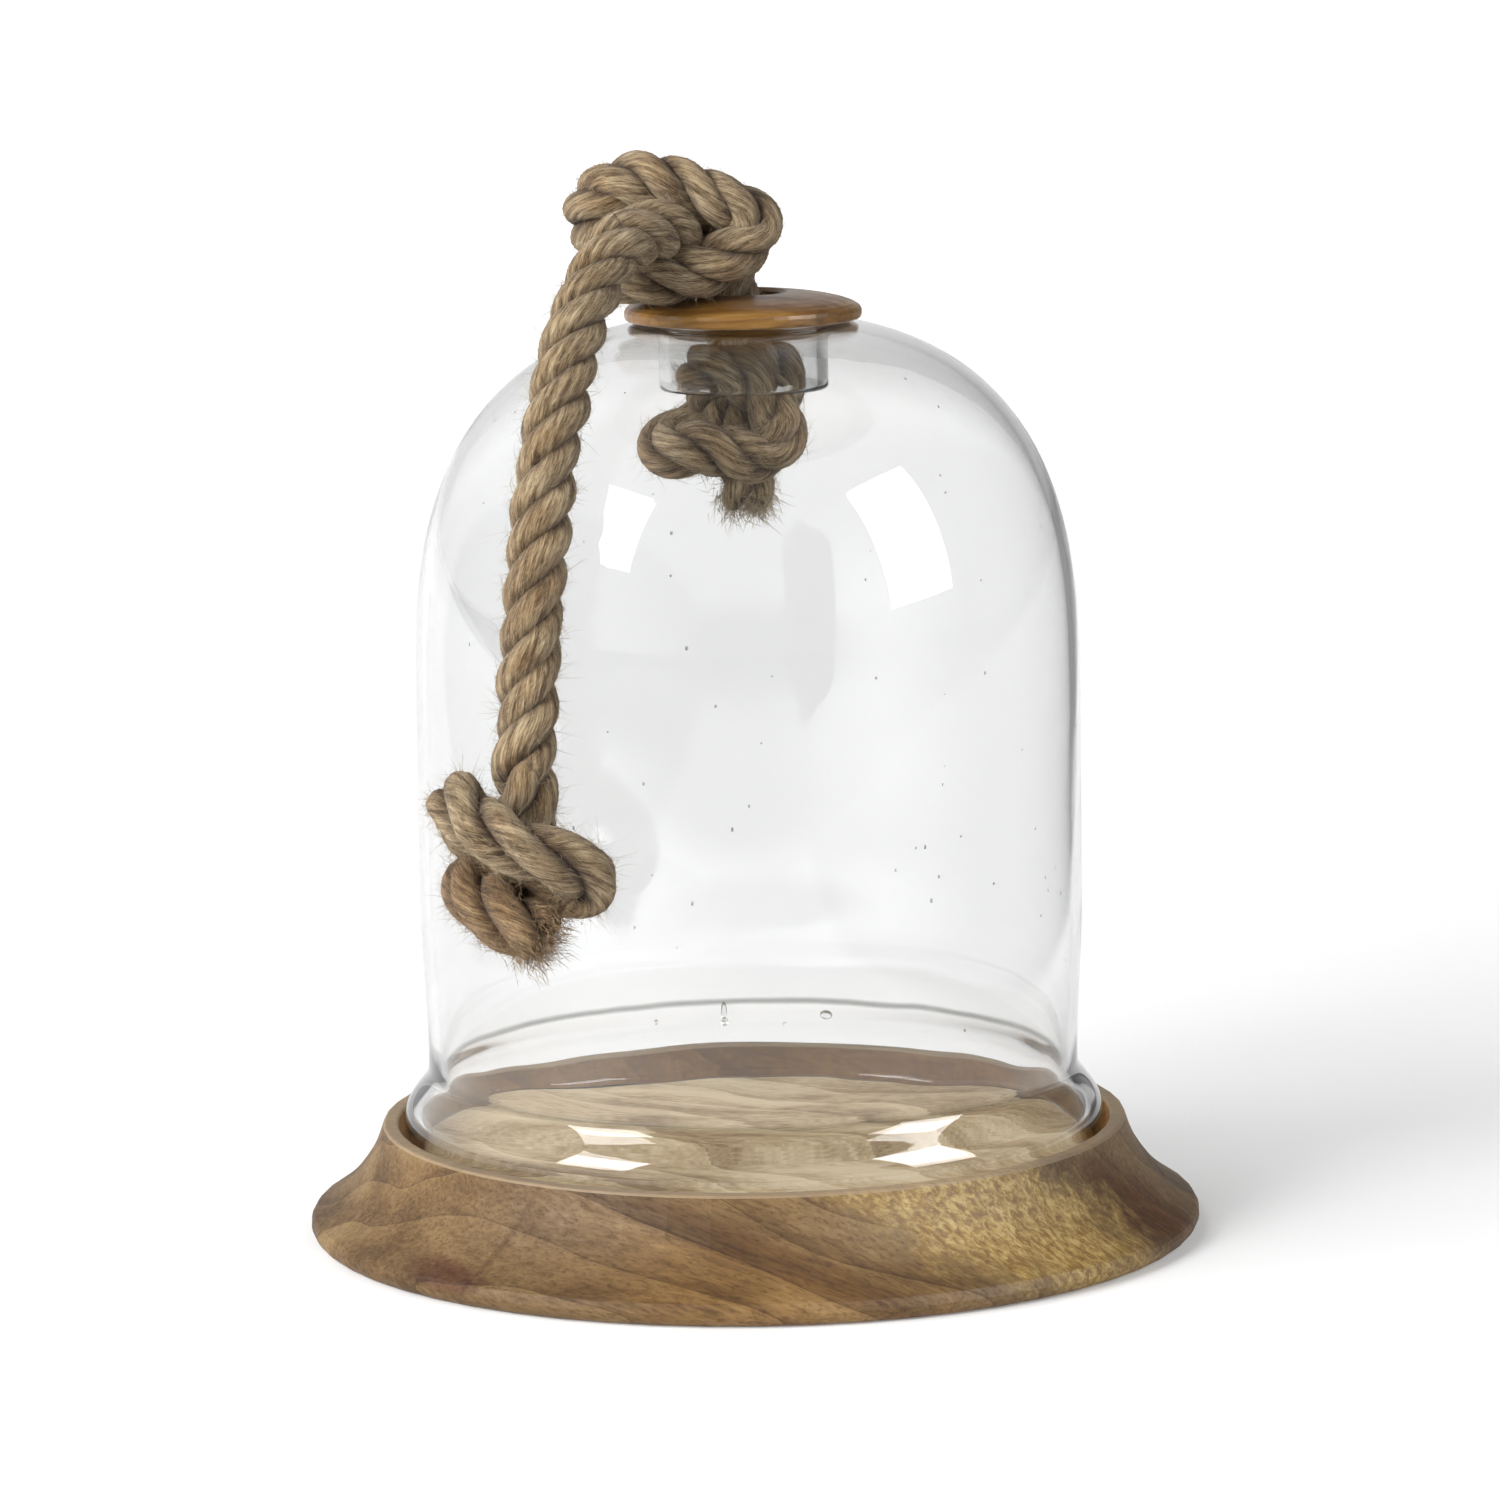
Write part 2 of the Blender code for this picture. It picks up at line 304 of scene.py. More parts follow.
def make_rope(route, cuts, seed):
    """The whole rope at once: its path, and three strands twisted right-handed round it.

    cuts are (place, radius, lay) rows. The rope's pieces begin and end at these places
    on the path, and its radius and lay change evenly between them."""
    rng = np.random.default_rng(seed)
    path, marks = smooth_path(route, RING_STEP)
    normals, binormals = moving_frames(path)
    stops = [int(np.argmin(np.linalg.norm(path - np.array(place), axis=1)))
             for place, _, _ in cuts]
    radius = np.interp(marks, marks[stops], [size for _, size, _ in cuts])
    lay = np.interp(marks, marks[stops], [length for _, _, length in cuts])
    twist = np.concatenate([[0.0], np.cumsum(np.diff(marks) / lay[1:])]) * math.tau
    ends = np.minimum(marks, marks[-1] - marks)
    near = np.clip(1.0 - ends / FRAY, 0.0, 1.0)
    taper = np.sqrt(1.0 - FRAY_THINS * near ** 3.0)
    around = np.arange(STRAND_SIDES) * math.tau / STRAND_SIDES
    strands = []
    for k in range(3):
        angle = math.tau * k / 3 + twist
        angle = angle + wander(rng, len(marks), *TURN_DRIFT)
        reach = STRAND_OFFSET * radius * (1 + wander(rng, len(marks), *OFFSET_DRIFT))
        reach = reach * (1 + FRAY_OPENS * near ** 2)
        outward = normals * np.cos(angle)[:, None] + binormals * np.sin(angle)[:, None]
        line = path + outward * reach[:, None]
        along = np.gradient(line, axis=0)
        along /= np.linalg.norm(along, axis=1)[:, None]
        facing = outward - along * np.sum(outward * along, axis=1)[:, None]
        facing /= np.linalg.norm(facing, axis=1)[:, None]
        side = np.cross(along, facing)
        lumps = rng.normal(0.0, 1.0, (len(marks), STRAND_SIDES))
        lumps = (lumps + np.roll(lumps, 1, 1) + np.roll(lumps, -1, 1)) / 3
        lumps[1:-1] = (lumps[:-2] + lumps[1:-1] * 2 + lumps[2:]) / 4
        yarn = np.cos(YARNS * (around[None, :] + math.tau * marks[:, None] / YARN_LAY))
        swell = 1 + wander(rng, len(marks), *SWELL_DRIFT)
        size = (STRAND_RADIUS * radius * swell * taper)[:, None]
        size = size * (1 + YARN_RELIEF * yarn + LUMP_RELIEF * lumps)
        size = size * (1.0 - INNER_FLAT * np.maximum(0.0, np.cos(around)))[None, :]
        # the ring's first point, with the texture's seam, looks at the rope's middle
        ways = (-np.cos(around)[None, :, None] * facing[:, None, :]
                - np.sin(around)[None, :, None] * side[:, None, :])
        rings = line[:, None, :] + ways * size[:, :, None]
        strands.append({"line": line, "along": along, "outward": facing, "rings": rings})
    return {"path": path, "marks": marks, "radius": radius, "strands": strands, "stops": stops}


def rope_piece(name, rope, first, last, look):
    """The rope's strands from one ring to another, as three closed tubes in one mesh."""
    shape = bmesh.new()
    uv = shape.loops.layers.uv.new("rope")
    marks = rope["marks"]
    count = STRAND_SIDES
    for k, strand in enumerate(rope["strands"]):
        rings = [[shape.verts.new(point) for point in ring]
                 for ring in strand["rings"][first:last + 1]]
        for i, (low, high) in enumerate(zip(rings, rings[1:])):
            bottom = marks[first + i] / MM + STRAND_APART * k
            top = marks[first + i + 1] / MM + STRAND_APART * k
            for j in range(count):
                next_j = (j + 1) % count
                face = shape.faces.new((low[j], low[next_j], high[next_j], high[j]))
                face.smooth = True
                spans = ((bottom, j), (bottom, j + 1), (top, j + 1), (top, j))
                for loop, (along, turn) in zip(face.loops, spans):
                    across = turn / count * STRAND_GIRTH
                    loop[uv].uv = (along / TEXTURE_UNIT, across / TEXTURE_UNIT)
        shape.faces.new(reversed(rings[0]))
        shape.faces.new(rings[-1])
    bmesh.ops.recalc_face_normals(shape, faces=shape.faces)
    return shape_object(name, shape, look)


def hair_tube(vertices, faces, root, heading, bend, length, width):
    """Adds one thin three-sided tapering tube that curves from its root."""
    heading = heading / np.linalg.norm(heading)
    across = np.cross(heading, bend)
    across /= max(np.linalg.norm(across), 1e-9)
    other = np.cross(heading, across)
    place = np.array(root)
    start = len(vertices)
    for i in range(HAIR_JOINTS + 1):
        size = width * (1.0 - HAIR_TAPER * i / HAIR_JOINTS)
        for k in range(3):
            turn = math.tau * k / 3
            vertices.append(place + (across * math.cos(turn) + other * math.sin(turn)) * size)
        heading = heading + bend / HAIR_JOINTS
        heading = heading / np.linalg.norm(heading)
        place = place + heading * length / HAIR_JOINTS
    for i in range(HAIR_JOINTS):
        for k in range(3):
            a = start + i * 3 + k
            b = start + i * 3 + (k + 1) % 3
            faces.append((a, b, b + 3, a + 3))


def fibre_piece(name, rope, first, last, count, look, seed, longest, tuft_at=()):
    """Loose fibres that stand off the strands, and tufts of them at the cut ends.

    tuft_at are (ring, sign) rows, with the sign of the way out along the path."""
    rng = np.random.default_rng(seed)
    vertices = []
    faces = []
    for _ in range(count):
        strand = rope["strands"][rng.integers(3)]
        i = int(rng.integers(first, last))
        along = strand["along"][i]
        outward = strand["outward"][i]
        turn = rng.normal(0.0, FIBRE_TURN)
        side = np.cross(along, outward)
        face = outward * math.cos(turn) + side * math.sin(turn)
        root = strand["line"][i] + face * STRAND_RADIUS * rope["radius"][i] * FIBRE_ROOT
        sign = 1.0 if rng.random() < 0.5 else -1.0
        lift = abs(rng.normal(0.0, FIBRE_LIFT)) + FIBRE_LEAST_LIFT
        stray = rng.random() < STRAY_SHARE
        if stray:
            lift += rng.uniform(*STRAY_LIFTS)
        heading = along * sign + face * lift + rng.normal(0.0, FIBRE_SCATTER, 3)
        bend = rng.normal(0.0, FIBRE_BEND, 3) - face * FIBRE_LIES_DOWN
        share = FIBRE_SHORTEST + (1.0 - FIBRE_SHORTEST) * rng.random() ** 2
        length = longest * share * (STRAY_LENGTH if stray else 1.0)
        width = rng.uniform(*FIBRE_WIDTHS) * MM
        hair_tube(vertices, faces, root, heading, bend, length, width)
    for i, sign in tuft_at:
        for _ in range(TUFT_FIBRES):
            strand = rope["strands"][rng.integers(3)]
            along = strand["along"][i] * sign
            inset = abs(rng.normal(0.0, TUFT_INSET)) * MM
            spot = rng.normal(0.0, 1.0, 3) * STRAND_RADIUS * rope["radius"][i] * TUFT_SPREAD
            root = strand["line"][i] - along * inset + spot
            heading = along + rng.normal(0.0, TUFT_SCATTER, 3)
            bend = rng.normal(0.0, TUFT_BEND, 3)
            length = rng.uniform(*TUFT_LENGTHS) * MM
            width = rng.uniform(*TUFT_WIDTHS) * MM
            hair_tube(vertices, faces, root, heading, bend, length, width)
    mesh = bpy.data.meshes.new(name)
    mesh.from_pydata([tuple(point) for point in vertices], [], faces)
    mesh.shade_smooth()
    return mesh_object(name, mesh, look)


# -------------------------------------------------------------------- glass
GLASS_WALL = 3.2 * MM
GLASS_FOOT_WALL = 4.4 * MM
FOOT_WALL_FROM = 60.0 * MM      # the wall thickens below this height
FOOT_WALL_DEPTH = 30.0 * MM     # and has its full thickness this much lower
DOME_RADIUS = 98.4 * MM
DOME_FOOT_RADIUS = 103.6 * MM
DOME_WAIST_RADIUS = 96.7 * MM
WAIST_FROM = 100.0 * MM
WAIST_DEPTH = 45.0 * MM
SHOULDER_START = 160.0 * MM
CROWN_HEIGHT = 276.0 * MM
SHOULDER_POWER_Z = 2.86
SHOULDER_POWER_R = 2.58
CROWN_FROM = 15.0               # degrees of the shoulder's curve where the lip meets it
NECK_RADIUS = 23.6 * MM
NECK_END = 257.0 * MM
LIP_RADIUS = 5.0 * MM
LIP_DROP = 1.7 * MM
FLARE_TOP = 51.8 * MM
FLARE_DEPTH = 17.0 * MM
GLASS_TURNS = 240
NECK_STEPS = 8
LIP_STEPS = 10
SHOULDER_STEPS = 50
FOOT_STEPS = 120
EDGE_STEPS = 8                  # round each end of the wall
# hand-made waves: the size in the upper wall, what the foot adds, and how much finer
WAVE = (0.10, 0.22, 1.0)
RIPPLE = (0.015, 0.10, 3.1)
WAVES_AROUND = 1.6
WAVES_UP = 22.0
FACES_APART = 7.0               # so that the wall's two faces have different waves
WAVES_FROM = 75.0 * MM
WAVES_DEPTH = 30.0 * MM
SEEDS = 90                      # little bubbles caught in the wall
SEED_RADII = (0.14, 0.42)       # millimetres
SEED_STRETCHES = (1.0, 1.9)
SEED_SHIFT = 1.5                # millimetres up or down from a point of the outline
SEEDS_AFTER = 24                # points of the outline, from the neck's end, that have none
SEEDS_BEFORE = 30               # and from the foot
DRIP_DEPTH = 0.2 * MM           # how far a drip's middle lies outside the inner face
# across and up, in metres; then radius, and how many times taller and thinner than round
DRIPS = [
    (-0.0090, 0.0470, 0.0010, 3.4, 0.6),
    (-0.0088, 0.0438, 0.0012, 1.2, 0.7),
    (0.0235, 0.0462, 0.0020, 0.7, 0.35),
    (0.0105, 0.0430, 0.0006, 1.0, 0.8),
    (-0.0310, 0.0452, 0.0006, 1.4, 0.8),
]


def smoothstep(value):
    value = min(1.0, max(0.0, value))
    return value * value * (3.0 - 2.0 * value)


def smootherstep(value):
    value = min(1.0, max(0.0, value))
    return value ** 3 * (value * (6.0 * value - 15.0) + 10.0)


def on_circle(middle, degrees, radius):
    angle = math.radians(degrees)
    return middle + Vector((math.cos(angle), math.sin(angle))) * radius


def glass_middle_line():
    """Middle of the glass wall, from the neck's lower end over the crown to the foot."""
    lip = Vector((NECK_RADIUS + LIP_RADIUS, CROWN_HEIGHT - LIP_RADIUS - LIP_DROP))
    line = []
    for i in range(NECK_STEPS + 1):
        line.append(Vector((NECK_RADIUS, NECK_END + (lip.y - NECK_END) * i / NECK_STEPS)))
    for i in range(1, LIP_STEPS + 1):
        line.append(on_circle(lip, 180.0 - 90.0 * i / LIP_STEPS, LIP_RADIUS))
    rise = CROWN_HEIGHT - SHOULDER_START
    for i in range(SHOULDER_STEPS + 1):
        angle = math.radians(CROWN_FROM + (90.0 - CROWN_FROM) * i / SHOULDER_STEPS)
        radius = DOME_RADIUS * math.sin(angle) ** (2.0 / SHOULDER_POWER_R)
        climb = rise * max(math.cos(angle), 0.0) ** (2.0 / SHOULDER_POWER_Z)
        line.append(Vector((radius, SHOULDER_START + climb)))
    foot_end = DOME_BOTTOM + GLASS_FOOT_WALL / 2
    for i in range(1, FOOT_STEPS + 1):
        height = SHOULDER_START + (foot_end - SHOULDER_START) * i / FOOT_STEPS
        waist = smoothstep((WAIST_FROM - height) / WAIST_DEPTH)
        flare = smootherstep((FLARE_TOP - height) / FLARE_DEPTH)
        radius = DOME_RADIUS + (DOME_WAIST_RADIUS - DOME_RADIUS) * waist
        line.append(Vector((radius + (DOME_FOOT_RADIUS - DOME_WAIST_RADIUS) * flare, height)))
    return line


def glass_loop():
    """The wall's two faces with rounded ends, as one closed loop: outside first.

    Each point comes with 0 on the outer face, 1 on the inner one, and 0.5 on the ends."""
    middle = glass_middle_line()
    outside = []
    inside = []
    for i, point in enumerate(middle):
        along = (middle[min(i + 1, len(middle) - 1)] - middle[max(i - 1, 0)]).normalized()
        across = Vector((-along.y, along.x))
        thicker = smoothstep((FOOT_WALL_FROM - point.y) / FOOT_WALL_DEPTH)
        half = (GLASS_WALL + (GLASS_FOOT_WALL - GLASS_WALL) * thicker) / 2
        outside.append(point + across * half)
        inside.append(point - across * half)
    turns = [-180.0 / EDGE_STEPS * i for i in range(1, EDGE_STEPS)]
    loop = [(point, 0.0) for point in outside]
    loop += [(on_circle(middle[-1], turn, GLASS_FOOT_WALL / 2), 0.5) for turn in turns]
    loop += [(point, 1.0) for point in reversed(inside)]
    loop += [(on_circle(middle[0], turn, GLASS_WALL / 2), 0.5) for turn in turns]
    return loop


def glass_piece(look):
    """The blown dome: the CAD profile turned finely, with the slight waves of hand work."""
    loop = glass_loop()
    shape = bmesh.new()
    rings = []
    for turn in range(GLASS_TURNS):
        angle = math.tau * turn / GLASS_TURNS
        facing = Vector((math.cos(angle), math.sin(angle)))
        ring = []
        for point, face in loop:
            along = point.y * WAVES_UP + face * FACES_APART
            sample = Vector((facing.x * WAVES_AROUND, facing.y * WAVES_AROUND, along))
            low = smoothstep((WAVES_FROM - point.y) / WAVES_DEPTH)
            radius = point.x
            for size, more_low, finer in (WAVE, RIPPLE):
                radius += noise.noise(sample * finer) * (size + more_low * low) * MM
            ring.append(shape.verts.new((facing.x * radius, facing.y * radius, point.y)))
        rings.append(ring)
    for first, second in zip(rings, rings[1:] + rings[:1]):
        for i in range(len(loop)):
            j = (i + 1) % len(loop)
            shape.faces.new((first[i], first[j], second[j], second[i])).smooth = True
    bmesh.ops.recalc_face_normals(shape, faces=shape.faces)
    return shape_object("blown_glass", shape, look)


def seed_piece(look):
    """Little bubbles caught in the wall: hollow, so their faces look inwards."""
    rng = random.Random(5)
    outline = glass_middle_line()
    shape = bmesh.new()
    for _ in range(SEEDS):
        point = outline[rng.randrange(SEEDS_AFTER, len(outline) - SEEDS_BEFORE)]
        angle = rng.uniform(0.0, math.tau)
        centre = Vector((math.cos(angle) * point.x, math.sin(angle) * point.x, point.y))
        centre.z += rng.uniform(-SEED_SHIFT, SEED_SHIFT) * MM
        stretch = Matrix.Diagonal((1.0, 1.0, rng.uniform(*SEED_STRETCHES), 1.0))
        place = Matrix.Translation(centre) @ stretch
        radius = rng.uniform(*SEED_RADII) * MM
        bmesh.ops.create_icosphere(shape, subdivisions=2, radius=radius, matrix=place)
    bmesh.ops.reverse_faces(shape, faces=shape.faces)
    for face in shape.faces:
        face.smooth = True
    return shape_object("glass_seeds", shape, look)


def drip_piece(look):
    """A run of glass under the foot's line at the back, and a flat blob beside it."""
    shape = bmesh.new()
    radius = DOME_WAIST_RADIUS - GLASS_WALL / 2 + DRIP_DEPTH
    for x, z, size, tall, flat in DRIPS:
        angle = math.asin(x / radius)
        place = Matrix.Translation((x, radius * math.cos(angle), z))
        place = place @ Matrix.Rotation(-angle, 4, "Z") @ Matrix.Diagonal((1.0, flat, tall, 1.0))
        bmesh.ops.create_uvsphere(shape, u_segments=20, v_segments=14, radius=size, matrix=place)
    for face in shape.faces:
        face.smooth = True
    return shape_object("glass_drips", shape, look)


# ---------------------------------------------------------------- materials
WHITE = (1.0, 1.0, 1.0)
GLASS_TINT = (0.925, 0.928, 0.927)
GLASS_CLARITY = (0.80, 0.80, 0.80, 1.0)     # of each face, for the light that passes through
PAINTED_LINE_HEIGHT = 0.0512            # painted shade: a darker line where the foot begins to flare, in place of the light that the glass turns away there
PAINTED_LINE_HALF_WIDTH = 0.0012
RIM_FROM = BASE_TOP - 0.9 * MM
RECESS_WALL_RADIUS = 108.5 * MM
RECESS_FLOOR_RADIUS = 105.6 * MM
ABOVE_UNDERSIDE = 20.0 * MM
MARK_DEPTH = 0.06               # a mark's half length in and out: well past the flank

# Marks on the base's flank: azimuth, radius, height, slope, size, whether the edge is
# ragged, hardness, and the colour that the wood is multiplied by. See mark_area.
FLANK_MARKS = [
    # a dark streak across the front
    (-3.0, 0.119, 0.0225, 20.0, (0.036, 0.0050), True, 0.9, (0.62, 0.53, 0.42)),
    # painted shade on the left of the front
    (-30.0, 0.124, 0.0120, 0.0, (0.046, 0.0300), False, 0.8, (0.74, 0.72, 0.70)),
    # a lighter foot in the middle
    (2.0, 0.130, 0.0070, 10.0, (0.048, 0.0110), True, 0.8, (1.35, 1.30, 1.18)),
    # a dark end on the right
    (66.0, 0.125, 0.0150, 25.0, (0.026, 0.0105), True, 1.3, (0.68, 0.44, 0.20)),
    # a reddish mark low on the left
    (-43.0, 0.131, 0.0075, 4.0, (0.015, 0.0032), True, 1.4, (0.62, 0.42, 0.32)),
    # a thin slanting seam on the left
    (-37.0, 0.124, 0.0180, 22.0, (0.0010, 0.0240), False, 1.2, (0.76, 0.68, 0.58)),
]
SPALTED_AREA = (39.0, 0.121, 0.0220, 20.0, (0.046, 0.0165))
SPALTED_HARDNESS = 1.5


def node_tree(name):
    made = bpy.data.materials.new(name)
    made.use_nodes = True
    tree = made.node_tree
    return made, tree, tree.nodes["Principled BSDF"]


def add(tree, kind, **settings):
    node = tree.nodes.new(kind)
    for key, value in settings.items():
        setattr(node, key, value)
    return node


def object_place(tree):
    return add(tree, "ShaderNodeTexCoord").outputs["Object"]


def axes(tree, vector):
    node = add(tree, "ShaderNodeSeparateXYZ")
    tree.links.new(vector, node.inputs[0])
    return node.outputs


def distance(tree, vector, point=None):
    """The vector's length, or its distance from a point."""
    node = add(tree, "ShaderNodeVectorMath", operation="DISTANCE" if point else "LENGTH")
    tree.links.new(vector, node.inputs[0])
    if point:
        node.inputs[1].default_value = point
    return node.outputs["Value"]


def scaled(tree, vector, scale):
    node = add(tree, "ShaderNodeMapping")
    node.inputs["Scale"].default_value = scale
    tree.links.new(vector, node.inputs["Vector"])
    return node.outputs["Vector"]


def rotated(tree, vector, degrees):
    node = add(tree, "ShaderNodeMapping")
    node.inputs["Rotation"].default_value = [math.radians(turn) for turn in degrees]
    tree.links.new(vector, node.inputs["Vector"])
    return node.outputs["Vector"]


def ramp(tree, source, stops):
    """A colour ramp. A stop's colour may be one number, which stands for a grey."""
    node = add(tree, "ShaderNodeValToRGB")
    while len(node.color_ramp.elements) < len(stops):
        node.color_ramp.elements.new(0.5)
    for element, (place, colour) in zip(node.color_ramp.elements, stops):
        colour = colour if isinstance(colour, tuple) else (colour, colour, colour)
        element.position = place
        element.color = (*colour, 1.0)
    tree.links.new(source, node.inputs[0])
    return node.outputs["Color"]


def math_node(tree, operation, first, second=None, clamp=False):
    node = add(tree, "ShaderNodeMath", operation=operation, use_clamp=clamp)
    for socket, value in zip(node.inputs, (first, second)):
        if value is None:
            continue
        if isinstance(value, (int, float)):
            socket.default_value = value
        else:
            tree.links.new(value, socket)
    return node.outputs[0]


def weighted(tree, *terms):
    """The sum of (value, weight) terms."""
    total = None
    for value, weight in terms:
        part = math_node(tree, "MULTIPLY", value, weight)
        total = part if total is None else math_node(tree, "ADD", total, part)
    return total


def mix_colour(tree, factor, first, second, blend="MIX"):
    node = add(tree, "ShaderNodeMix", data_type="RGBA", blend_type=blend, clamp_result=True)
    inputs = ((node.inputs[0], factor), (node.inputs[6], first), (node.inputs[7], second))
    for socket, value in inputs:
        if isinstance(value, (int, float)):
            socket.default_value = value
        elif isinstance(value, tuple):
            socket.default_value = (*value, 1.0)
        else:
            tree.links.new(value, socket)
    return node.outputs[2]


def map_range(tree, value, start, end, at_start=0.0, at_end=1.0, kind="LINEAR"):
    node = add(tree, "ShaderNodeMapRange", interpolation_type=kind)
    node.inputs["From Min"].default_value = start
    node.inputs["From Max"].default_value = end
    node.inputs["To Min"].default_value = at_start
    node.inputs["To Max"].default_value = at_end
    tree.links.new(value, node.inputs["Value"])
    return node.outputs["Result"]


def noise_value(tree, vector, scale, detail, rough=0.55, distortion=0.0):
    """Noise of one scale, or of one scale along each axis."""
    if isinstance(scale, tuple):
        vector = scaled(tree, vector, scale)
        scale = 1.0
    node = add(tree, "ShaderNodeTexNoise")
    node.inputs["Scale"].default_value = scale
    node.inputs["Detail"].default_value = detail
    node.inputs["Roughness"].default_value = rough
    node.inputs["Distortion"].default_value = distortion
    tree.links.new(vector, node.inputs["Vector"])
    return node.outputs[0]


def bump(tree, shader, height, strength, depth):
    node = add(tree, "ShaderNodeBump")
    node.inputs["Strength"].default_value = strength
    node.inputs["Distance"].default_value = depth
    tree.links.new(height, node.inputs["Height"])
    tree.links.new(node.outputs["Normal"], shader.inputs["Normal"])


def jute_material(name, tint):
    """Twisted jute: fine fibres along the yarns, pale high spots, and painted shade in the
    hollows between the strands.
    """
    made, tree, shader = node_tree(name)
    lay = add(tree, "ShaderNodeUVMap", uv_map="rope").outputs[0]
    # the yarns cross the strand at this angle, so that they run along the rope
    turned = rotated(tree, lay, (0.0, 0.0, 53.0))
    yarn = noise_value(tree, turned, (0.8, 9.0, 1.0), 2.0, 0.5, 0.2)
    fibre = noise_value(tree, turned, (2.4, 38.0, 1.0), 4.0, 0.7, 0.3)
    loose = rotated(tree, lay, (0.0, 0.0, 35.0))
    stray = noise_value(tree, loose, (5.0, 60.0, 1.0), 3.0, 0.7, 0.6)
    both = weighted(tree, (yarn, 0.34), (fibre, 0.40), (stray, 0.26))
    colour = ramp(tree, both, [
        (0.38, (0.056, 0.031, 0.013)),
        (0.45, (0.168, 0.108, 0.052)),
        (0.50, (0.320, 0.226, 0.124)),
        (0.59, (0.620, 0.495, 0.310)),
    ])
    patch = noise_value(tree, object_place(tree), 70.0, 2.0, 0.5)
    warm = ramp(tree, patch, [(0.35, (0.80, 0.72, 0.62)), (0.62, WHITE)])
    colour = mix_colour(tree, 1.0, colour, warm, "MULTIPLY")
    # painted shade in the creases between the strands: 0 on a strand's outer side, 1 at its seam
    half = STRAND_GIRTH / 2 / TEXTURE_UNIT
    off = math_node(tree, "DIVIDE", axes(tree, lay)[1], half)
    off = math_node(tree, "ABSOLUTE", math_node(tree, "SUBTRACT", off, 1.0))
    painted_crease_shade = ramp(tree, off, [(0.22, WHITE), (0.55, (0.25, 0.185, 0.125))])
    colour = mix_colour(tree, 1.0, colour, painted_crease_shade, "MULTIPLY")
    colour = mix_colour(tree, 1.0, colour, tint, "MULTIPLY")
    tree.links.new(colour, shader.inputs["Base Color"])
    shader.inputs["Roughness"].default_value = 0.85
    shader.inputs["Sheen Weight"].default_value = 0.15
    shader.inputs["Specular IOR Level"].default_value = 0.25
    bump(tree, shader, both, 1.0, 0.0020)
    return made


def fibre_material(name, dark, light):
    made, tree, shader = node_tree(name)
    tone = noise_value(tree, object_place(tree), 400.0, 1.0)
    colour = ramp(tree, tone, [(0.3, dark), (0.7, light)])
    tree.links.new(colour, shader.inputs["Base Color"])
    shader.inputs["Roughness"].default_value = 0.7
    return made


def glass_material(name):
    """Clear soda glass, faintly smeared, with a painted dark line above the flare of the foot, in
    place of the light that the glass turns away there.
    """
    made, tree, shader = node_tree(name)
    shader.inputs["Transmission Weight"].default_value = 1.0
    shader.inputs["IOR"].default_value = 1.5
    place = object_place(tree)
    smear = noise_value(tree, place, (14.0, 14.0, 30.0), 2.0)
    roughness = ramp(tree, smear, [(0.4, 0.0), (0.8, 0.012)])
    tree.links.new(roughness, shader.inputs["Roughness"])
    # the painted line is dark at the back and pale in front
    across = axes(tree, place)
    wobble = noise_value(tree, place, (22.0, 22.0, 0.0), 2.0)
    level = math_node(tree, "ADD", across[2], math_node(tree, "MULTIPLY", wobble, 0.0022))
    off = math_node(tree, "ABSOLUTE", math_node(tree, "SUBTRACT", level, PAINTED_LINE_HEIGHT))
    near = math_node(tree, "DIVIDE", off, PAINTED_LINE_HALF_WIDTH)
    faint_painted_line = ramp(tree, near, [(0.25, (0.70, 0.71, 0.70)), (1.0, GLASS_TINT)])
    dark_painted_line = ramp(tree, near, [(0.25, (0.36, 0.37, 0.36)), (1.0, GLASS_TINT)])
    behind = math_node(tree, "MULTIPLY", across[1], 30.0, clamp=True)
    tree.links.new(mix_colour(tree, behind, faint_painted_line, dark_painted_line), shader.inputs["Base Color"])
    # light passes through the walls, so that what stands under the dome is lit
    rays = add(tree, "ShaderNodeLightPath")
    clear = add(tree, "ShaderNodeBsdfTransparent")
    clear.inputs[0].default_value = GLASS_CLARITY
    blend = add(tree, "ShaderNodeMixShader")
    tree.links.new(rays.outputs["Is Shadow Ray"], blend.inputs[0])
    tree.links.new(shader.outputs[0], blend.inputs[1])
    tree.links.new(clear.outputs[0], blend.inputs[2])
    tree.links.new(blend.outputs[0], tree.nodes["Material Output"].inputs["Surface"])
    return made


def mark_area(tree, place, azimuth, radius, height, slope, size, ragged, hardness):
    """1 inside an ellipsoid on the base's flank and 0 outside it, with a ragged edge.

    The azimuth is counted from the front, positive to the right. size holds its half
    lengths along the flank and up. The slope, in degrees, tips its right end down.
    ragged is 0 or an uneven value that shifts the edge, and a greater hardness makes
    the edge sharper."""
    turn = math.radians(azimuth)
    offset = add(tree, "ShaderNodeVectorMath", operation="SUBTRACT")
    tree.links.new(place, offset.inputs[0])
    offset.inputs[1].default_value = (radius * math.sin(turn), -radius * math.cos(turn), height)
    facing = rotated(tree, offset.outputs[0], (0.0, 0.0, -azimuth))
    tipped = rotated(tree, facing, (0.0, -slope, 0.0))
    along, up = size
    reach = distance(tree, scaled(tree, tipped, (1.0 / along, 1.0 / MARK_DEPTH, 1.0 / up)))
    edge = math_node(tree, "ADD", reach, ragged)
    inside = math_node(tree, "SUBTRACT", 1.0 + 0.5 / hardness, edge)
    return math_node(tree, "MULTIPLY", inside, hardness, clamp=True)


